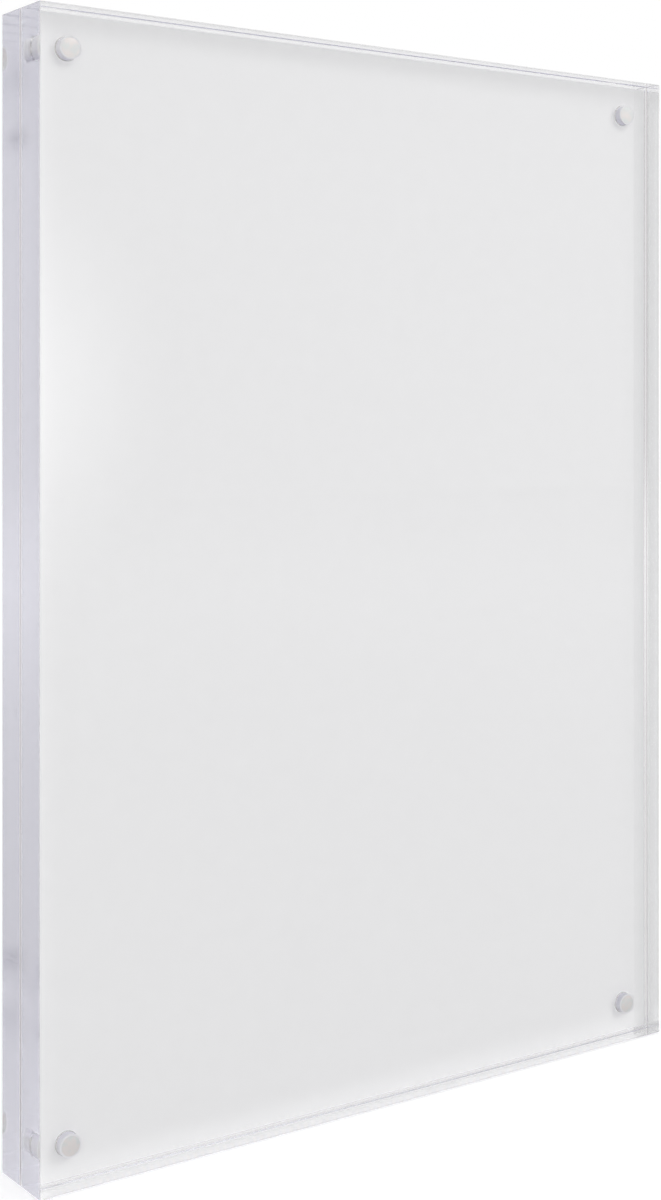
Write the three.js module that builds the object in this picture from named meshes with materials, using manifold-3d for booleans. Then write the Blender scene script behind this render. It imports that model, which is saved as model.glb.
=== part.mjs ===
// Magnetic acrylic block frame for one sheet, standing upright.
// Two thick clear blocks hold a loose sheet between them, and plated disc magnets
// bonded into blind bores at the four corners pull the blocks together.
// Millimetres, +Z up, front towards -Y. The origin is the middle of the base,
// on the plane that the blocks stand on.

import * as THREE from 'three';
import { mergeVertices } from 'three/addons/utils/BufferGeometryUtils.js';
import Module from 'manifold-3d';

const wasm = await Module();
wasm.setup();

// Driving dimensions: the sheet
const sheetWidth = 210;
const sheetHeight = 297;
const sheetThickness = 0.15;
const sheetClearance = 0.1; // air between the sheet and each block
const sheetMargin = 1; // how far the blocks reach past the sheet, all round

// Driving dimensions: the blocks
const frontThickness = 11;
const backThickness = 11;
const arris = 0.2; // flat polished chamfer along every edge

// Driving dimensions: the magnets and what holds them
const magnetDiameter = 6;
const magnetLength = 4;
const magnetRim = 0.25; // radius of the plated rim
const magnetRimSteps = 2;
const magnetRecess = 0.05; // the magnets lie this far under the inner faces
const magnetInsetSide = 10.5; // axis to the block's left or right side
const magnetInsetEnd = 10; // axis to the block's top or bottom
const adhesiveThickness = 0.15; // cured adhesive round and behind a magnet
const bondClearance = 0.02; // kept between the adhesive and what it bonds
const roundSides = 40;

// Sizes worked out from the driving dimensions
const blockWidth = sheetWidth + 2 * sheetMargin;
const blockHeight = sheetHeight + 2 * sheetMargin;
const innerFace = sheetThickness / 2 + sheetClearance; // inner face to the sheet's mid plane
const magnetRadius = magnetDiameter / 2;
const adhesiveInner = magnetRadius + bondClearance;
const adhesiveOuter = adhesiveInner + adhesiveThickness;
const boreRadius = adhesiveOuter + bondClearance;
const boreDepth = magnetRecess + magnetLength + adhesiveThickness + 2 * bondClearance;

const magnetPlaces = [
  { place: 'top_left', x: -1, z: 1 },
  { place: 'top_right', x: 1, z: 1 },
  { place: 'bottom_left', x: -1, z: -1 },
  { place: 'bottom_right', x: 1, z: -1 },
].map(({ place, x, z }) => ({
  place,
  x: x * (blockWidth / 2 - magnetInsetSide),
  z: blockHeight / 2 + z * (blockHeight / 2 - magnetInsetEnd),
}));

const acrylic = () => new THREE.MeshStandardMaterial({
  color: 0xe4e5ec, roughness: 0.04, metalness: 0, transparent: true, opacity: 0.35,
});
const paper = () => new THREE.MeshStandardMaterial({ color: 0xe2e3e3, roughness: 0.85, metalness: 0 });
const nickel = () => new THREE.MeshStandardMaterial({ color: 0xc8c6c2, roughness: 0.15, metalness: 1 });
const adhesive = () => new THREE.MeshStandardMaterial({
  color: 0xe6e6e2, roughness: 0.1, metalness: 0, transparent: true, opacity: 0.4,
});

// A closed solid for cutting, from a geometry whose shared vertices are merged.
function toSolid(geometry) {
  const bare = geometry.clone();
  bare.deleteAttribute('normal');
  bare.deleteAttribute('uv');
  const merged = mergeVertices(bare);
  return new wasm.Manifold(new wasm.Mesh({
    numProp: 3,
    vertProperties: new Float32Array(merged.attributes.position.array),
    triVerts: new Uint32Array(merged.index.array),
  }));
}

function toGeometry(solid) {
  const mesh = solid.getMesh();
  const geometry = new THREE.BufferGeometry();
  geometry.setAttribute('position', new THREE.BufferAttribute(mesh.vertProperties, 3));
  geometry.setIndex(new THREE.BufferAttribute(mesh.triVerts, 1));
  geometry.computeVertexNormals();
  return geometry;
}

// The outline of a block seen from the front, its four corners taken off by the arris.
function blockOutline() {
  const halfWidth = blockWidth / 2;
  const corners = [
    [halfWidth - arris, 0],
    [halfWidth, arris],
    [halfWidth, blockHeight - arris],
    [halfWidth - arris, blockHeight],
    [arris - halfWidth, blockHeight],
    [-halfWidth, blockHeight - arris],
    [-halfWidth, arris],
    [arris - halfWidth, 0],
  ];
  return new THREE.Shape(corners.map(([x, z]) => new THREE.Vector2(x, z)));
}

// A block with its front face at y = 0, reaching back to y = thickness,
// and the chamfered rims of both faces.
function blockBlank(thickness) {
  const geometry = new THREE.ExtrudeGeometry(blockOutline(), {
    depth: thickness - 2 * arris,
    bevelEnabled: true,
    bevelThickness: arris,
    bevelSize: arris,
    bevelOffset: -arris,
    bevelSegments: 1,
  });
  geometry.rotateX(Math.PI / 2);
  geometry.translate(0, thickness - arris, 0);
  return geometry;
}

// A block with four blind bores in one face. mouth is the y of that face and
// inward is +1 or -1, the way the bores run into the block.
function boredBlock(thickness, mouth, inward) {
  const overrun = 1; // the cutter starts this far outside the face
  let solid = toSolid(blockBlank(thickness));
  for (const { x, z } of magnetPlaces) {
    const cutter = new THREE.CylinderGeometry(boreRadius, boreRadius, boreDepth + overrun, roundSides);
    cutter.translate(x, mouth + inward * (boreDepth - overrun) / 2, z);
    solid = solid.subtract(toSolid(cutter));
  }
  return toGeometry(solid);
}

// A plated disc magnet round the Y axis, from y = 0 to y = magnetLength, both rims rounded.
function magnetGeometry() {
  const flat = magnetRadius - magnetRim;
  const profile = [new THREE.Vector2(0, 0)];
  for (const [middle, start] of [[magnetRim, -Math.PI / 2], [magnetLength - magnetRim, 0]]) {
    for (let step = 0; step <= magnetRimSteps; step += 1) {
      const angle = start + (step / magnetRimSteps) * (Math.PI / 2);
      profile.push(new THREE.Vector2(
        flat + magnetRim * Math.cos(angle),
        middle + magnetRim * Math.sin(angle),
      ));
    }
  }
  profile.push(new THREE.Vector2(0, magnetLength));
  return new THREE.LatheGeometry(profile, roundSides);
}

// The cured adhesive, a thin cup round the Y axis. Its floor starts at y = 0,
// the bore's deep end, and its wall reaches as far as the magnet does.
function adhesiveGeometry() {
  const wallTop = adhesiveThickness + bondClearance + magnetLength;
  const profile = [
    [0, 0],
    [adhesiveOuter, 0],
    [adhesiveOuter, wallTop],
    [adhesiveInner, wallTop],
    [adhesiveInner, adhesiveThickness],
    [0, adhesiveThickness],
  ].map(([radius, y]) => new THREE.Vector2(radius, y));
  return new THREE.LatheGeometry(profile, roundSides);
}

function piece(name, geometry, material) {
  const mesh = new THREE.Mesh(geometry, material);
  mesh.name = name;
  return mesh;
}

// The magnets and their adhesive for one block, each placed in its bore. side names
// the block, face is the y of its inner face, and inward runs into its bores.
function magnetPieces(side, face, inward) {
  const magnetStart = magnetRecess;
  const boreEnd = boreDepth - bondClearance;
  const pieces = [];
  for (const { place, x, z } of magnetPlaces) {
    const magnet = piece(`${side}_magnet_${place}`, magnetGeometry(), nickel());
    magnet.position.set(x, face + inward * (magnetStart + magnetLength / 2) - magnetLength / 2, z);
    pieces.push(magnet);

    const bond = piece(`${side}_adhesive_${place}`, adhesiveGeometry(), adhesive());
    bond.position.set(x, face + inward * boreEnd, z);
    if (inward > 0) bond.rotation.x = Math.PI;
    pieces.push(bond);
  }
  return pieces;
}

// The front block stands from -innerFace forwards, the back block from +innerFace backwards.
const frontPanel = piece('front_panel', boredBlock(frontThickness, frontThickness, -1), acrylic());
frontPanel.position.y = -innerFace - frontThickness;

const backPanel = piece('back_panel', boredBlock(backThickness, 0, 1), acrylic());
backPanel.position.y = innerFace;

const insertSheet = piece(
  'insert_sheet',
  new THREE.BoxGeometry(sheetWidth, sheetThickness, sheetHeight),
  paper(),
);
insertSheet.position.z = blockHeight / 2;

const group = new THREE.Group();
group.add(frontPanel, ...magnetPieces('front', -innerFace, -1));
group.add(insertSheet);
group.add(backPanel, ...magnetPieces('back', innerFace, 1));

export default group;
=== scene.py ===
import math

import bmesh
import bpy
from mathutils import Matrix, Vector, noise


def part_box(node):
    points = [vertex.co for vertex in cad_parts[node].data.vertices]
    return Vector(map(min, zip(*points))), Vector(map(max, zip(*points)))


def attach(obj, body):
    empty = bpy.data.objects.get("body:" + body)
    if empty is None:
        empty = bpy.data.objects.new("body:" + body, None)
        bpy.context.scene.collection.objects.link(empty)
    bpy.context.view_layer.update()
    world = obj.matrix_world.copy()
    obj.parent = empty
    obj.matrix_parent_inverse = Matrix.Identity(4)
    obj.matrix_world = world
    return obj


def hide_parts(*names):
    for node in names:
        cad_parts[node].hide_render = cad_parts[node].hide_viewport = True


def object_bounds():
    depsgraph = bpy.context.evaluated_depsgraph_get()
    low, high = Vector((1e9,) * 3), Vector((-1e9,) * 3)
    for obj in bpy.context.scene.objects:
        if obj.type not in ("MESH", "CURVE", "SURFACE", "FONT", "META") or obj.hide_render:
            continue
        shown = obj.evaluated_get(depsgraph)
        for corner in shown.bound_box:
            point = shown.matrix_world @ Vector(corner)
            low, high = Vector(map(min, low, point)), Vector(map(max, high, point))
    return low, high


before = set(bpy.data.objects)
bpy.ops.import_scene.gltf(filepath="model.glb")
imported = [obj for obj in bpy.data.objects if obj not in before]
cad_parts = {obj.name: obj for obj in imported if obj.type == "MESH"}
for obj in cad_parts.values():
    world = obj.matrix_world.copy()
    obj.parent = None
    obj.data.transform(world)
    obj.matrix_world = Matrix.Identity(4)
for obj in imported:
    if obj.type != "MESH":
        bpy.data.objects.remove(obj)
cad_box = [list(corner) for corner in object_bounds()]
scene = bpy.context.scene

# Back block
# A block of clear cast acrylic, diamond-polished on every side, with a small flat
# chamfer along each edge. It lies down first, and the rest is laid on it.
arris = 0.0002
arris_softness = 0.00003
bore_overlap = 0.00001  # the bond is clear right up to the plating, so the bore is drawn just inside it
bore_overrun = 0.001
bore_rim = 0.00001
mouth_depth = 0.00036
mouth_play = 0.00002
mouth_rim = 0.00002
cast_face_normal = 0.999
turned_sides = 96
rim_steps = 6
weld_distance = 1e-7
block_sharp_angle = math.radians(30)
turned_sharp_angle = math.radians(40)
acrylic_ior = 1.49
acrylic_tint = (0.42, 0.40, 0.66, 1.0)
acrylic_density = 1.3
scraped_roughness = 0.4
# The darker tint of the upright chamfers at the seam: painted shade for the gap between the blocks.
seam_painted_shade_colour = (0.65, 0.59, 0.59, 1.0)


def add_node(tree, kind, inputs=None, **settings):
    """A new node. Each input is given by its name or number, as a value or as the socket that feeds it."""
    node = tree.nodes.new(kind)
    for name, value in settings.items():
        setattr(node, name, value)
    for name, value in (inputs or {}).items():
        if isinstance(value, bpy.types.NodeSocket):
            tree.links.new(value, node.inputs[name])
        else:
            node.inputs[name].default_value = value
    return node


def empty_material(name):
    """A material with no nodes yet, and its node tree."""
    material = bpy.data.materials.new(name)
    material.use_nodes = True
    material.node_tree.nodes.clear()
    return material, material.node_tree


def polished_acrylic():
    """Clear cast acrylic, lavender where light goes a long way through it. Its faces are as cast, with faint
    wiping marks, its edges keep the fine lines of the polishing cutter, and the scraped chamfers are dull.
    The upright chamfers at the seam are tinted darker: painted shade for the gap between the blocks."""
    material, tree = empty_material("polished_acrylic")
    place = add_node(tree, "ShaderNodeTexCoord").outputs["Object"]
    machined = add_node(tree, "ShaderNodeAttribute", attribute_name="machined").outputs["Fac"]
    scraped = add_node(tree, "ShaderNodeAttribute", attribute_name="scraped").outputs["Fac"]
    # Painted shade: the upright chamfers at the seam are tinted darker for the gap between the blocks.
    painted_seam_shade = add_node(tree, "ShaderNodeAttribute", attribute_name="painted_seam_shade").outputs["Fac"]
    tone = add_node(tree, "ShaderNodeMix", {
        "Factor": painted_seam_shade, 6: (1.0, 1.0, 1.0, 1.0), 7: seam_painted_shade_colour}, data_type="RGBA")
    swell = add_node(tree, "ShaderNodeTexNoise", {"Vector": place, "Scale": 28.0, "Detail": 1.0})
    swell_bump = add_node(tree, "ShaderNodeBump", {
        "Height": swell.outputs[0], "Strength": 1.0, "Distance": 0.00002})
    line_place = add_node(tree, "ShaderNodeMapping", {"Vector": place, "Scale": (900.0, 50.0, 900.0)})
    lines = add_node(tree, "ShaderNodeTexNoise", {
        "Vector": line_place.outputs["Vector"], "Scale": 1.0, "Detail": 2.0})
    line_bump = add_node(tree, "ShaderNodeBump", {
        "Height": lines.outputs[0], "Strength": machined, "Distance": 0.000001,
        "Normal": swell_bump.outputs[0]})
    smears = add_node(tree, "ShaderNodeTexNoise", {
        "Vector": place, "Scale": 22.0, "Detail": 4.0, "Distortion": 1.4})
    wiped = add_node(tree, "ShaderNodeMapRange", {
        "Value": smears.outputs[0], "From Min": 0.4, "From Max": 0.7, "To Min": 0.004, "To Max": 0.02})
    cut = add_node(tree, "ShaderNodeMapRange", {
        "Value": lines.outputs[0], "From Min": 0.3, "From Max": 0.7, "To Min": 0.13, "To Max": 0.19})
    polished = add_node(tree, "ShaderNodeMix", {
        "Factor": machined, 2: wiped.outputs[0], 3: cut.outputs[0]}, data_type="FLOAT")
    roughness = add_node(tree, "ShaderNodeMix", {
        "Factor": scraped, 2: polished.outputs[0], 3: scraped_roughness}, data_type="FLOAT")
    surface = add_node(tree, "ShaderNodeBsdfPrincipled", {
        "Base Color": tone.outputs[2], "Roughness": roughness.outputs[0], "IOR": acrylic_ior,
        "Transmission Weight": 1.0, "Normal": line_bump.outputs[0]})
    inside = add_node(tree, "ShaderNodeVolumeAbsorption", {
        "Color": acrylic_tint, "Density": acrylic_density})
    add_node(tree, "ShaderNodeOutputMaterial", {"Surface": surface.outputs[0], "Volume": inside.outputs[0]})
    return material


def new_size_tree(name, sizes):
    """A Geometry Nodes tree with these named inputs, and the node that holds them."""
    tree = bpy.data.node_groups.new(name, "GeometryNodeTree")
    tree.interface.new_socket("Geometry", in_out="OUTPUT", socket_type="NodeSocketGeometry")
    for label, kind in sizes.items():
        tree.interface.new_socket(label, in_out="INPUT", socket_type="NodeSocket" + kind)
    return tree, tree.nodes.new("NodeGroupInput").outputs


def turned_at_four_corners(tree, section, sizes):
    """Turns the section round an axis, sets it at the four corners along +Y, and ends the tree."""
    path = add_node(tree, "GeometryNodeCurvePrimitiveCircle", {
        "Resolution": sizes["Sides"], "Radius": sizes["Radius"]})
    turned = add_node(tree, "GeometryNodeCurveToMesh", {
        "Curve": path.outputs["Curve"], "Profile Curve": section})
    closed = add_node(tree, "GeometryNodeMergeByDistance", {
        "Geometry": turned.outputs["Mesh"], "Distance": weld_distance})
    smooth = add_node(tree, "GeometryNodeSetShadeSmooth", {"Geometry": closed.outputs["Geometry"]})
    corners = add_node(tree, "GeometryNodeMeshGrid", {
        "Size X": sizes["Spacing Across"], "Size Y": sizes["Spacing Up"], "Vertices X": 2, "Vertices Y": 2})
    upright = add_node(tree, "GeometryNodeTransform", {
        "Geometry": corners.outputs["Mesh"], "Rotation": (math.pi / 2, 0.0, 0.0)})
    placed = add_node(tree, "GeometryNodeInstanceOnPoints", {
        "Points": upright.outputs["Geometry"], "Instance": smooth.outputs["Geometry"],
        "Rotation": (-math.pi / 2, 0.0, 0.0)})
    real = add_node(tree, "GeometryNodeRealizeInstances", {"Geometry": placed.outputs["Instances"]})
    finished = add_node(tree, "GeometryNodeSetMaterial", {
        "Geometry": real.outputs["Geometry"], "Material": sizes["Material"]})
    add_node(tree, "NodeGroupOutput", {"Geometry": finished.outputs["Geometry"]})


def disc_tree():
    """Four discs with rounded rims, each from y = 0 to y = Length."""
    tree, sizes = new_size_tree("four_discs", {
        "Radius": "Float", "Length": "Float", "Rim": "Float", "Rim Steps": "Int", "Sides": "Int",
        "Spacing Across": "Float", "Spacing Up": "Float", "Material": "Material"})
    inward = add_node(tree, "ShaderNodeMath", {0: sizes["Radius"], 1: -1.0}, operation="MULTIPLY")
    along = add_node(tree, "ShaderNodeMath", {0: sizes["Length"], 1: -1.0}, operation="MULTIPLY")
    near_axis = add_node(tree, "ShaderNodeCombineXYZ", {"X": inward.outputs[0]})
    far_edge = add_node(tree, "ShaderNodeCombineXYZ", {"Y": along.outputs[0]})
    far_axis = add_node(tree, "ShaderNodeCombineXYZ", {"X": inward.outputs[0], "Y": along.outputs[0]})
    outline = add_node(tree, "GeometryNodeCurvePrimitiveQuadrilateral", mode="POINTS", inputs={
        "Point 1": far_axis.outputs[0], "Point 2": far_edge.outputs[0],
        "Point 3": (0.0, 0.0, 0.0), "Point 4": near_axis.outputs[0]})
    half = add_node(tree, "GeometryNodeSetSplineCyclic", {
        "Geometry": outline.outputs["Curve"], "Cyclic": False})
    rounded = add_node(tree, "GeometryNodeFilletCurve", mode="POLY", inputs={
        "Curve": half.outputs["Geometry"], "Count": sizes["Rim Steps"], "Radius": sizes["Rim"]})
    turned_at_four_corners(tree, rounded.outputs["Curve"], sizes)
    return tree


def shown_object(name, mesh):
    """An object of that name at the origin, with its place in its mesh."""
    obj = bpy.data.objects.new(name, mesh)
    scene.collection.objects.link(obj)
    return obj


def settled(obj):
    """Turns the object's modifiers into plain mesh."""
    graph = bpy.context.evaluated_depsgraph_get()
    mesh = bpy.data.meshes.new_from_object(obj.evaluated_get(graph), depsgraph=graph)
    obj.modifiers.clear()
    obj.data = mesh
    return obj


def mid(box):
    """The middle of a box given by its two corners."""
    return (box[0] + box[1]) / 2


magnet_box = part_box("back_magnet_top_left")
opposite_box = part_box("back_magnet_bottom_right")
spacing = mid(opposite_box) - mid(magnet_box)
magnet_radius = (magnet_box[1].x - magnet_box[0].x) / 2
magnet_length = magnet_box[1].y - magnet_box[0].y
magnet_rim = 0.00045
adhesive_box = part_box("back_adhesive_top_left")
mouth_radius = (adhesive_box[1].x - adhesive_box[0].x) / 2 + mouth_play
corner_height = (mid(magnet_box).z + mid(opposite_box).z) / 2
magnet_recess = magnet_box[0].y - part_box("back_panel")[0].y
acrylic = polished_acrylic()
discs = disc_tree()


def inner_face(side):
    """The y of a block's inner face, and the way its bores run. side is "back" or "front"."""
    if side == "back":
        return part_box("back_panel")[0].y, 1
    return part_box("front_panel")[1].y, -1


def grown(tree, name, sizes, start, side, backwards=False):
    """An object made by the tree at one block's four corners, from start behind its inner face."""
    face, inward = inner_face(side)
    placed = {
        "Sides": turned_sides, "Spacing Across": abs(spacing.x), "Spacing Up": abs(spacing.z), **sizes}
    obj = shown_object(name, bpy.data.meshes.new(name))
    grower = obj.modifiers.new("tree", "NODES")
    grower.node_group = tree
    for item in tree.interface.items_tree:
        if item.in_out == "INPUT":
            grower[item.identifier] = placed[item.name]
    settled(obj)
    turn = 0.0 if (side == "back") != backwards else math.pi
    move = Vector((0, face + inward * start, corner_height))
    obj.data.transform(Matrix.Translation(move) @ Matrix.Rotation(turn, 4, "Z"))
    return obj


def four_discs(name, radius, length, rim, start, side, material):
    """Four discs in one block."""
    sizes = {"Radius": radius, "Length": length, "Rim": rim, "Rim Steps": rim_steps, "Material": material}
    return grown(discs, name, sizes, start, side)


def chamfered_blank(low, high):
    """A block between two corners, its edges chamfered, and the chamfers' own edges just softened."""
    shape = bmesh.new()
    bmesh.ops.create_cube(shape, size=1.0)
    size = high - low
    bmesh.ops.scale(shape, vec=size, verts=shape.verts)
    bmesh.ops.translate(shape, vec=(low + high) / 2, verts=shape.verts)
    bmesh.ops.bevel(
        shape, geom=shape.edges[:], offset=arris, offset_type="OFFSET",
        segments=1, profile=0.5, affect="EDGES")
    bmesh.ops.bevel(
        shape, geom=shape.edges[:], offset=arris_softness, offset_type="OFFSET",
        segments=2, profile=0.5, affect="EDGES", clamp_overlap=True)
    bmesh.ops.recalc_face_normals(shape, faces=shape.faces)
    mesh = bpy.data.meshes.new("block")
    shape.to_mesh(mesh)
    shape.free()
    return mesh


def bored_block(name, side):
    """A polished block with four blind bores, each a close fit on its bonded magnet."""
    low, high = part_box(f"{side}_panel")
    block = shown_object(name, chamfered_blank(low, high))
    bore_length = bore_overrun + magnet_recess + magnet_length - bore_overlap
    bore_radius = magnet_radius - bore_overlap
    mouth_length = bore_overrun + mouth_depth
    cutters = [
        four_discs("bore", bore_radius, bore_length, bore_rim, -bore_overrun, side, acrylic),
        four_discs("mouth", mouth_radius, mouth_length, mouth_rim, -bore_overrun, side, acrylic)]
    block.data.materials.append(acrylic)
    for cutter in cutters:
        cut = block.modifiers.new("cut", "BOOLEAN")
        cut.object = cutter
        cut.operation = "DIFFERENCE"
        cut.solver = "EXACT"
    settled(block)
    for cutter in cutters:
        bpy.data.objects.remove(cutter)
    machined = block.data.attributes.new("machined", "FLOAT", "FACE")
    scraped = block.data.attributes.new("scraped", "FLOAT", "FACE")
    painted_seam_shade = block.data.attributes.new("painted_seam_shade", "FLOAT", "FACE")
    for face in block.data.polygons:
        face.use_smooth = True
        sides_met = sum(min(face.center[i] - low[i], high[i] - face.center[i]) < arris for i in range(3))
        at_seam = abs(face.center.y) < arris + min(abs(low.y), abs(high.y))
        upright_edge = abs(face.center.x) > high.x - arris
        machined.data[face.index].value = 0.0 if abs(face.normal.y) > cast_face_normal else 1.0
        scraped.data[face.index].value = 1.0 if sides_met > 1 else 0.0
        # Painted shade: the upright chamfers at the seam get the darker tint.
        painted_seam_shade.data[face.index].value = 1.0 if at_seam and upright_edge and sides_met > 1 else 0.0
    block.data.set_sharp_from_angle(angle=block_sharp_angle)
    even = block.modifiers.new("even", "WEIGHTED_NORMAL")
    even.keep_sharp = True
    settled(block)
    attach(block, side)
    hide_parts(f"{side}_panel")


bored_block("back_block", "back")

# Magnets of the back block
# Four nickel-plated neodymium discs, tumbled and plated, so their rims are round.
# Each is pressed into wet adhesive in its bore, just under the face.
# Warm and greenish-grey tints set at random: partly the plating's own cloudiness, partly a painted
# reflection of coloured surroundings.
nickel_warm_painted_reflection = (0.89, 0.85, 0.82, 1.0)
nickel_green_painted_reflection = (0.83, 0.85, 0.83, 1.0)
filmed_wall = (0.93, 0.92, 0.95, 1.0)
wall_roughness = 0.5
wall_metal = 0.4


def nickel_plating():
    """Bright nickel, finely scratched, with a milky film of adhesive on its wall. Its faces are faintly
    cloudy in random warm and greenish-grey patches, partly the plating's own tone and partly a painted
    reflection of coloured surroundings.
    """
    material, tree = empty_material("nickel_plating")
    place = add_node(tree, "ShaderNodeTexCoord").outputs["Object"]
    clouds = add_node(tree, "ShaderNodeTexNoise", {"Vector": place, "Scale": 420.0, "Detail": 3.0})
    patches = add_node(tree, "ShaderNodeMapRange", {
        "Value": clouds.outputs[0], "From Min": 0.38, "From Max": 0.62}, interpolation_type="SMOOTHSTEP")
    # Partly real cloudiness, partly a painted reflection: the two tints are mixed at random.
    cloudy_painted_reflection = add_node(tree, "ShaderNodeMix", {
        "Factor": patches.outputs[0], 6: nickel_warm_painted_reflection, 7: nickel_green_painted_reflection}, data_type="RGBA")
    stretched = add_node(tree, "ShaderNodeMapping", {
        "Vector": place, "Rotation": (0.0, 0.6, 0.0), "Scale": (900.0, 900.0, 9000.0)})
    scratches = add_node(tree, "ShaderNodeTexNoise", {
        "Vector": stretched.outputs[0], "Scale": 1.0, "Detail": 4.0})
    flat = add_node(tree, "ShaderNodeMapRange", {
        "Value": clouds.outputs[0], "From Min": 0.3, "From Max": 0.7, "To Min": 0.43, "To Max": 0.51})
    facing = add_node(tree, "ShaderNodeTexCoord").outputs["Normal"]
    along = add_node(tree, "ShaderNodeSeparateXYZ", {"Vector": facing}).outputs["Y"]
    end_face = add_node(tree, "ShaderNodeMath", {0: along}, operation="ABSOLUTE")
    tone = add_node(tree, "ShaderNodeMix", {
        "Factor": end_face.outputs[0], 6: filmed_wall, 7: cloudy_painted_reflection.outputs[2]}, data_type="RGBA")
    metal = add_node(tree, "ShaderNodeMix", {
        "Factor": end_face.outputs[0], 2: wall_metal, 3: 1.0}, data_type="FLOAT")
    roughness = add_node(tree, "ShaderNodeMix", {
        "Factor": end_face.outputs[0], 2: wall_roughness, 3: flat.outputs[0]}, data_type="FLOAT")
    bump = add_node(tree, "ShaderNodeBump", {
        "Height": scratches.outputs[0], "Strength": 0.5, "Distance": 0.00002})
    surface = add_node(tree, "ShaderNodeBsdfPrincipled", {
        "Base Color": tone.outputs[2], "Metallic": metal.outputs[0], "Roughness": roughness.outputs[0],
        "Normal": bump.outputs[0]})
    add_node(tree, "ShaderNodeOutputMaterial", {"Surface": surface.outputs[0]})
    return material


nickel = nickel_plating()
corners = ["top_left", "top_right", "bottom_left", "bottom_right"]


def bonded_magnets(side):
    """The four magnets of one block."""
    magnets = four_discs(
        f"{side}_magnets", magnet_radius, magnet_length, magnet_rim, magnet_recess, side, nickel)
    magnets.data.set_sharp_from_angle(angle=turned_sharp_angle)
    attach(magnets, side)
    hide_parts(*[f"{side}_magnet_{corner}" for corner in corners])


bonded_magnets("back")

# Adhesive of the back block
# Clear two-part adhesive fills each bore round and behind its magnet. It has the block's
# own index there, so what shows of it is the dished ring in the bore's mouth, and the
# bead in the bore's far corner, which is drawn plain white: a painted highlight for the bright ring at the
# magnet's rim.
ring_gap = 0.000006
ring_sag = 0.00006
dish_steps = 8
bead_points = 7


def ring_tree():
    """Four rings with a dished end, each from y = 0 to y = Depth."""
    tree, sizes = new_size_tree("four_rings", {
        "Radius": "Float", "Width": "Float", "Depth": "Float", "Sag": "Float", "Sides": "Int",
        "Spacing Across": "Float", "Spacing Up": "Float", "Material": "Material"})
    half_width = add_node(tree, "ShaderNodeMath", {0: sizes["Width"], 1: 0.5}, operation="MULTIPLY")
    inner = add_node(tree, "ShaderNodeMath", {0: half_width.outputs[0], 1: -1.0}, operation="MULTIPLY")
    down = add_node(tree, "ShaderNodeMath", {0: sizes["Depth"], 1: -1.0}, operation="MULTIPLY")
    low_sag = add_node(tree, "ShaderNodeMath", {0: sizes["Sag"], 1: -2.0}, operation="MULTIPLY")
    start = add_node(tree, "ShaderNodeCombineXYZ", {"X": inner.outputs[0]})
    middle = add_node(tree, "ShaderNodeCombineXYZ", {"Y": low_sag.outputs[0]})
    end = add_node(tree, "ShaderNodeCombineXYZ", {"X": half_width.outputs[0]})
    dish = add_node(tree, "GeometryNodeCurveQuadraticBezier", {
        "Resolution": dish_steps, "Start": end.outputs[0], "Middle": middle.outputs[0],
        "End": start.outputs[0]})
    outer_deep = add_node(tree, "ShaderNodeCombineXYZ", {"X": half_width.outputs[0], "Y": down.outputs[0]})
    inner_deep = add_node(tree, "ShaderNodeCombineXYZ", {"X": inner.outputs[0], "Y": down.outputs[0]})
    outer_wall = add_node(tree, "GeometryNodeCurvePrimitiveLine", {
        "Start": outer_deep.outputs[0], "End": end.outputs[0]})
    floor_line = add_node(tree, "GeometryNodeCurvePrimitiveLine", {
        "Start": inner_deep.outputs[0], "End": outer_deep.outputs[0]})
    inner_wall = add_node(tree, "GeometryNodeCurvePrimitiveLine", {
        "Start": start.outputs[0], "End": inner_deep.outputs[0]})
    outline = tree.nodes.new("GeometryNodeJoinGeometry")
    for part in (inner_wall, floor_line, outer_wall, dish):
        tree.links.new(part.outputs["Curve"], outline.inputs["Geometry"])
    turned_at_four_corners(tree, outline.outputs["Geometry"], sizes)
    return tree


def bead_tree():
    """Four beads that fill the corner between a rounded rim and a square bore, with y = 0 at the far end."""
    tree, sizes = new_size_tree("four_beads", {
        "Radius": "Float", "Rim": "Float", "Rim Steps": "Int", "Sides": "Int",
        "Spacing Across": "Float", "Spacing Up": "Float", "Material": "Material"})
    down = add_node(tree, "ShaderNodeMath", {0: sizes["Rim"], 1: -1.0}, operation="MULTIPLY")
    wall_point = add_node(tree, "ShaderNodeCombineXYZ", {"Y": down.outputs[0]})
    face_point = add_node(tree, "ShaderNodeCombineXYZ", {"X": down.outputs[0]})
    rim_middle = add_node(tree, "ShaderNodeCombineXYZ", {"X": down.outputs[0], "Y": down.outputs[0]})
    wall_line = add_node(tree, "GeometryNodeCurvePrimitiveLine", {
        "Start": wall_point.outputs[0], "End": (0.0, 0.0, 0.0)})
    face_line = add_node(tree, "GeometryNodeCurvePrimitiveLine", {
        "Start": (0.0, 0.0, 0.0), "End": face_point.outputs[0]})
    quarter = add_node(tree, "GeometryNodeCurveArc", {
        "Resolution": sizes["Rim Steps"], "Radius": sizes["Rim"],
        "Start Angle": math.pi / 2, "Sweep Angle": -math.pi / 2})
    rim_line = add_node(tree, "GeometryNodeTransform", {
        "Geometry": quarter.outputs["Curve"], "Translation": rim_middle.outputs[0]})
    outline = tree.nodes.new("GeometryNodeJoinGeometry")
    for part in (rim_line.outputs["Geometry"], face_line.outputs["Curve"], wall_line.outputs["Curve"]):
        tree.links.new(part, outline.inputs["Geometry"])
    turned_at_four_corners(tree, outline.outputs["Geometry"], sizes)
    return tree


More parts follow.
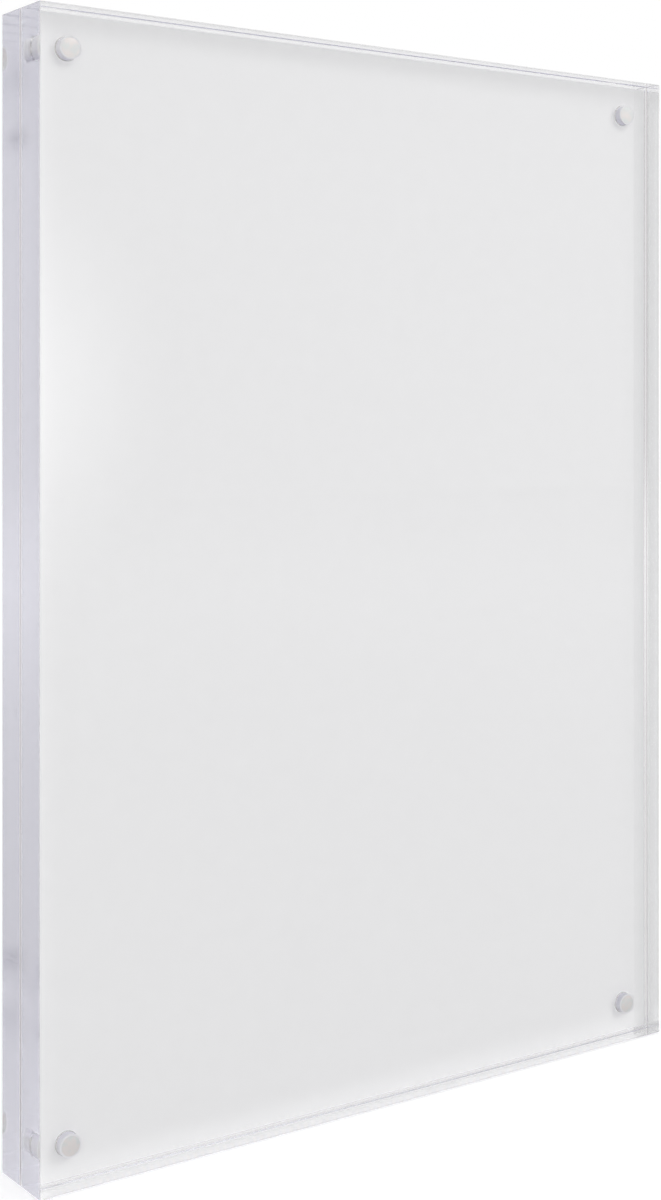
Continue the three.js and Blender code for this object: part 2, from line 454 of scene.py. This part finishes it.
def rim_painted_highlight():
    """A soft, faintly speckled white: a painted highlight for the bright ring at each magnet's rim."""
    material, tree = empty_material("rim_painted_highlight")
    place = add_node(tree, "ShaderNodeTexCoord").outputs["Object"]
    speckle = add_node(tree, "ShaderNodeTexNoise", {"Vector": place, "Scale": 2600.0, "Detail": 2.0})
    # Painted highlight: the bead is drawn white where the rounded rim shows a bright ring.
    tone = add_node(tree, "ShaderNodeMix", {
        "Factor": speckle.outputs[0], 6: (0.93, 0.93, 0.93, 1.0), 7: (0.99, 0.99, 0.98, 1.0)},
        data_type="RGBA")
    surface = add_node(tree, "ShaderNodeBsdfPrincipled", {"Base Color": tone.outputs[2], "Roughness": 0.5})
    add_node(tree, "ShaderNodeOutputMaterial", {"Surface": surface.outputs[0]})
    return material


def clear_adhesive():
    """Clear cured adhesive, slightly warm, with its surface a little uneven."""
    material, tree = empty_material("clear_adhesive")
    place = add_node(tree, "ShaderNodeTexCoord").outputs["Object"]
    ripple = add_node(tree, "ShaderNodeTexNoise", {"Vector": place, "Scale": 1500.0, "Detail": 2.0})
    tone = add_node(tree, "ShaderNodeMix", {
        "Factor": ripple.outputs[0], 6: (0.96, 0.95, 0.92, 1.0), 7: (1.0, 1.0, 0.98, 1.0)},
        data_type="RGBA")
    bump = add_node(tree, "ShaderNodeBump", {
        "Height": ripple.outputs[0], "Strength": 0.6, "Distance": 0.00003})
    surface = add_node(tree, "ShaderNodeBsdfPrincipled", {
        "Base Color": tone.outputs[2], "Roughness": 0.08, "IOR": acrylic_ior,
        "Transmission Weight": 1.0, "Normal": bump.outputs[0]})
    add_node(tree, "ShaderNodeOutputMaterial", {"Surface": surface.outputs[0]})
    return material


rings = ring_tree()
beads = bead_tree()
adhesive = clear_adhesive()
white_painted_highlight = rim_painted_highlight()


def bonded_rings(side):
    """The dished rings of adhesive round the four magnets of one block."""
    inner_radius = magnet_radius + ring_gap
    outer_radius = mouth_radius - ring_gap
    sizes = {
        "Radius": (inner_radius + outer_radius) / 2, "Width": outer_radius - inner_radius,
        "Depth": mouth_depth - magnet_recess - ring_gap, "Sag": ring_sag, "Material": adhesive}
    ring = grown(rings, f"{side}_adhesive", sizes, magnet_recess, side)
    ring.data.set_sharp_from_angle(angle=turned_sharp_angle)
    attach(ring, side)
    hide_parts(*[f"{side}_adhesive_{corner}" for corner in corners])


def corner_beads(side):
    """The white beads round the far ends of the four magnets of one block: a painted highlight for the
    bright ring at their rims.
    """
    sizes = {
        # The bead's white is a painted highlight for the rim's bright ring.
        "Radius": magnet_radius, "Rim": magnet_rim, "Rim Steps": bead_points, "Material": white_painted_highlight}
    far_end = magnet_recess + magnet_length
    bead = grown(beads, f"{side}_adhesive_beads", sizes, far_end, side, backwards=True)
    bead.data.set_sharp_from_angle(angle=turned_sharp_angle)
    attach(bead, side)


bonded_rings("back")
corner_beads("back")

# Sheet
# A loose white paper sheet, a millimetre smaller than the blocks all round. It isn't
# fixed: the blocks pinch it, and it keeps a faint cockle of its own.
sheet_low, sheet_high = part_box("insert_sheet")
sheet_columns = 70
sheet_rows = 99
cockle = 0.00003
cockle_scale = 14.0
cockle_slice = 0.37
paper_thickness = 0.00012
paper_white = 0.88
paper_clouding = 0.015


def paper_mesh():
    """The sheet's middle surface, upright, out of flat by a hair."""
    shape = bmesh.new()
    size = sheet_high - sheet_low
    grid = []
    for row in range(sheet_rows + 1):
        height = sheet_low.z + size.z * row / sheet_rows
        line = []
        for column in range(sheet_columns + 1):
            across = sheet_low.x + size.x * column / sheet_columns
            lift = noise.noise(Vector((across, cockle_slice, height)) * cockle_scale)
            line.append(shape.verts.new((across, cockle * lift, height)))
        grid.append(line)
    for below, above in zip(grid, grid[1:]):
        for left in range(sheet_columns):
            shape.faces.new((below[left], below[left + 1], above[left + 1], above[left]))
    mesh = bpy.data.meshes.new("insert_sheet_paper")
    shape.to_mesh(mesh)
    shape.free()
    return mesh


def white_paper():
    """Uncoated white paper: faintly cloudy, with short fibres."""
    material, tree = empty_material("white_paper")
    place = add_node(tree, "ShaderNodeTexCoord").outputs["Object"]
    clouds = add_node(tree, "ShaderNodeTexNoise", {"Vector": place, "Scale": 260.0, "Detail": 4.0})
    fibre_place = add_node(tree, "ShaderNodeMapping", {
        "Vector": place, "Rotation": (0.0, 0.3, 0.0), "Scale": (900.0, 900.0, 5200.0)})
    fibres = add_node(tree, "ShaderNodeTexNoise", {
        "Vector": fibre_place.outputs[0], "Scale": 1.0, "Detail": 5.0, "Distortion": 1.2})
    both = add_node(tree, "ShaderNodeMath", {0: clouds.outputs[0], 1: fibres.outputs[0]}, operation="ADD")
    tone = add_node(tree, "ShaderNodeMapRange", {
        "Value": both.outputs[0], "From Min": 0.6, "From Max": 1.4,
        "To Min": paper_white - paper_clouding, "To Max": paper_white + paper_clouding})
    colour = add_node(tree, "ShaderNodeCombineColor", {
        "Red": tone.outputs[0], "Green": tone.outputs[0], "Blue": tone.outputs[0]})
    bump = add_node(tree, "ShaderNodeBump", {
        "Height": fibres.outputs[0], "Strength": 0.35, "Distance": 0.00003})
    surface = add_node(tree, "ShaderNodeBsdfPrincipled", {
        "Base Color": colour.outputs[0], "Roughness": 0.9, "Normal": bump.outputs[0]})
    add_node(tree, "ShaderNodeOutputMaterial", {"Surface": surface.outputs[0]})
    return material


sheet = shown_object("paper_sheet", paper_mesh())
sheet.data.materials.append(white_paper())
body = sheet.modifiers.new("body", "SOLIDIFY")
body.thickness = paper_thickness
body.offset = 0.0
settled(sheet)
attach(sheet, "insert")
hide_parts("insert_sheet")

# Front block, with its magnets and adhesive
# The twin of the back block, bored from its own inner face. It is put on last, and its
# magnets pull it to the others through the sheet's margin.
bored_block("front_block", "front")
bonded_magnets("front")
bonded_rings("front")
corner_beads("front")

# Floor
# A plain pale table. It keeps the holder's soft shadow, and shows as near white.
floor_drop = 0.0002
floor_half = 3.0
floor_colour = (0.62, 0.62, 0.62, 1.0)
floor_seen_lift = 0.43
floor_mirrored_lift = (0.14, 0.3)  # beside the holder, and far away
floor_landing_lift = 0.2
floor_reach = (0.3, 1.6)


def by_ray(tree, seen, mirrored, landing):
    """Levels for what the camera sees, for what metal and glass show, and for light that lands."""
    rays = add_node(tree, "ShaderNodeLightPath")
    passed = add_node(tree, "ShaderNodeMath", {
        0: rays.outputs["Is Glossy Ray"], 1: rays.outputs["Is Transmission Ray"]}, operation="MAXIMUM")
    shown = add_node(tree, "ShaderNodeMath", {
        0: passed.outputs[0], 1: rays.outputs["Diffuse Depth"]}, operation="SUBTRACT", use_clamp=True)
    indirect = add_node(tree, "ShaderNodeMix", {
        "Factor": shown.outputs[0], 2: landing, 3: mirrored}, data_type="FLOAT")
    level = add_node(tree, "ShaderNodeMix", {
        "Factor": rays.outputs["Is Camera Ray"], 2: indirect.outputs[0], 3: seen}, data_type="FLOAT")
    return level.outputs[0]


def table_top():
    """Matt pale laminate, a little brighter where it is seen."""
    material, tree = empty_material("table_top")
    matt = add_node(tree, "ShaderNodeBsdfDiffuse", {"Color": floor_colour})
    place = add_node(tree, "ShaderNodeTexCoord").outputs["Object"]
    reach = add_node(tree, "ShaderNodeVectorMath", {0: place}, operation="LENGTH")
    mirrored = add_node(tree, "ShaderNodeMapRange", {
        "Value": reach.outputs["Value"], "From Min": floor_reach[0], "From Max": floor_reach[1],
        "To Min": floor_mirrored_lift[0], "To Max": floor_mirrored_lift[1]}, interpolation_type="SMOOTHSTEP")
    glow = add_node(tree, "ShaderNodeEmission", {
        "Strength": by_ray(tree, floor_seen_lift, mirrored.outputs[0], floor_landing_lift)})
    both = add_node(tree, "ShaderNodeAddShader", {0: matt.outputs[0], 1: glow.outputs[0]})
    add_node(tree, "ShaderNodeOutputMaterial", {"Surface": both.outputs[0]})
    material.cycles.emission_sampling = "NONE"
    return material


floor_mesh = bpy.data.meshes.new("floor")
floor_mesh.from_pydata(
    [(x * floor_half, y * floor_half, -floor_drop) for x, y in ((-1, -1), (1, -1), (1, 1), (-1, 1))],
    [], [(0, 1, 2, 3)])
floor = shown_object("floor", floor_mesh)
floor_mesh.materials.append(table_top())

# Light
# A pale studio, brighter to the right and above, with a white backdrop behind the holder.
# A large soft lamp stands high in front to the right. A soft bright panel shows in the
# front face near its left edge.
backdrop_direction = Vector((0.604, 0.797, 0.05)).normalized()
backdrop_edge = (0.80, 0.95)
backdrop_level = 0.8
studio_shown = (0.77, 0.27, 0.12)  # level, then its rise to the right and upwards
studio_landing = (0.77, 0.2, 0.25)
lamp_place = (1.0, -1.4, 1.6)
lamp_size = 1.4
lamp_power = 7.0
panel_middle = Vector((0.28, -0.92, 0.215))
panel_half_width = 0.165
panel_half_height = 0.2
panel_level = 3.0

world = bpy.data.worlds.new("studio")
scene.world = world
world.use_nodes = True
studio = world.node_tree
studio.nodes.clear()
look = add_node(studio, "ShaderNodeTexCoord").outputs["Generated"]
toward = add_node(studio, "ShaderNodeSeparateXYZ", {"Vector": look}).outputs


def sloping_studio(level, to_right, upwards):
    """The studio's level, which rises to the right and upwards."""
    across = add_node(studio, "ShaderNodeMath", {
        0: toward["X"], 1: to_right, 2: level}, operation="MULTIPLY_ADD")
    return add_node(studio, "ShaderNodeMath", {
        0: toward["Z"], 1: upwards, 2: across.outputs[0]}, operation="MULTIPLY_ADD").outputs[0]


behind = add_node(studio, "ShaderNodeVectorMath", {0: look, 1: backdrop_direction}, operation="DOT_PRODUCT")
room = add_node(studio, "ShaderNodeMapRange", {
    "Value": behind.outputs["Value"], "From Min": backdrop_edge[0], "From Max": backdrop_edge[1],
    "To Min": sloping_studio(*studio_shown), "To Max": backdrop_level}, interpolation_type="SMOOTHSTEP")
backdrop = add_node(studio, "ShaderNodeBackground", {
    "Color": (1.0, 1.0, 1.0, 1.0),
    "Strength": by_ray(studio, 1.0, room.outputs[0], sloping_studio(*studio_landing))})
add_node(studio, "ShaderNodeOutputWorld", {"Surface": backdrop.outputs[0]})


def soft_glow():
    """Light that is strongest in the panel's middle and gone at its edge. Only an outer face mirrors it."""
    material, tree = empty_material("soft_glow")
    place = add_node(tree, "ShaderNodeTexCoord").outputs["Object"]
    centred = add_node(tree, "ShaderNodeMapping", {
        "Vector": place, "Scale": (1 / panel_half_width, 1.0, 1 / panel_half_height)})
    reach = add_node(tree, "ShaderNodeVectorMath", {0: centred.outputs[0]}, operation="LENGTH")
    glow = add_node(tree, "ShaderNodeMapRange", {
        "Value": reach.outputs["Value"], "From Min": 0.0, "From Max": 1.0,
        "To Min": panel_level, "To Max": 0.0}, interpolation_type="SMOOTHSTEP")
    rays = add_node(tree, "ShaderNodeLightPath")
    outside = add_node(tree, "ShaderNodeMath", {
        0: 1.0, 1: rays.outputs["Transmission Depth"]}, operation="SUBTRACT", use_clamp=True)
    mirrored = add_node(tree, "ShaderNodeMath", {
        0: glow.outputs[0], 1: outside.outputs[0]}, operation="MULTIPLY")
    light = add_node(tree, "ShaderNodeEmission", {"Strength": by_ray(tree, 0.0, mirrored.outputs[0], 0.0)})
    clear = add_node(tree, "ShaderNodeBsdfTransparent")
    both = add_node(tree, "ShaderNodeAddShader", {0: clear.outputs[0], 1: light.outputs[0]})
    add_node(tree, "ShaderNodeOutputMaterial", {"Surface": both.outputs[0]})
    material.cycles.emission_sampling = "NONE"
    return material


panel_mesh = bpy.data.meshes.new("soft_panel")
panel_mesh.from_pydata(
    [(x * panel_half_width, 0.0, z * panel_half_height) for x, z in ((-1, -1), (-1, 1), (1, 1), (1, -1))],
    [], [(0, 1, 2, 3)])
panel_mesh.materials.append(soft_glow())
panel = shown_object("soft_panel", panel_mesh)
panel.location = panel_middle
panel.visible_camera = False
panel.visible_shadow = False

middle = Vector((0, 0, (cad_box[0][2] + cad_box[1][2]) / 2))
lamp_light = bpy.data.lights.new("soft_lamp", "AREA")
lamp_light.size = lamp_size
lamp_light.energy = lamp_power
lamp = bpy.data.objects.new("soft_lamp", lamp_light)
lamp.location = lamp_place
lamp.rotation_euler = (middle - Vector(lamp_place)).to_track_quat("-Z", "Y").to_euler()
scene.collection.objects.link(lamp)

# Camera
# Level, and to the left in front, with the picture moved down and to the left so that
# the holder fills the frame.
camera_place = (-0.3148, -0.4514, 0.1991)
camera_turn = math.radians(37.167)
camera_focal = 57.495
camera_shift = (-0.09125, -0.1655)

camera_data = bpy.data.cameras.new("camera")
camera_data.lens = camera_focal
camera_data.sensor_width = 36.0
camera_data.shift_x, camera_data.shift_y = camera_shift
camera = bpy.data.objects.new("camera", camera_data)
camera.location = camera_place
camera.rotation_euler = (math.pi / 2, 0.0, -camera_turn)
scene.collection.objects.link(camera)
scene.camera = camera

scene.view_settings.view_transform = "Standard"
scene.cycles.blur_glossy = 0.0
scene.cycles.max_bounces = 64
scene.cycles.glossy_bounces = 48
scene.cycles.transmission_bounces = 48
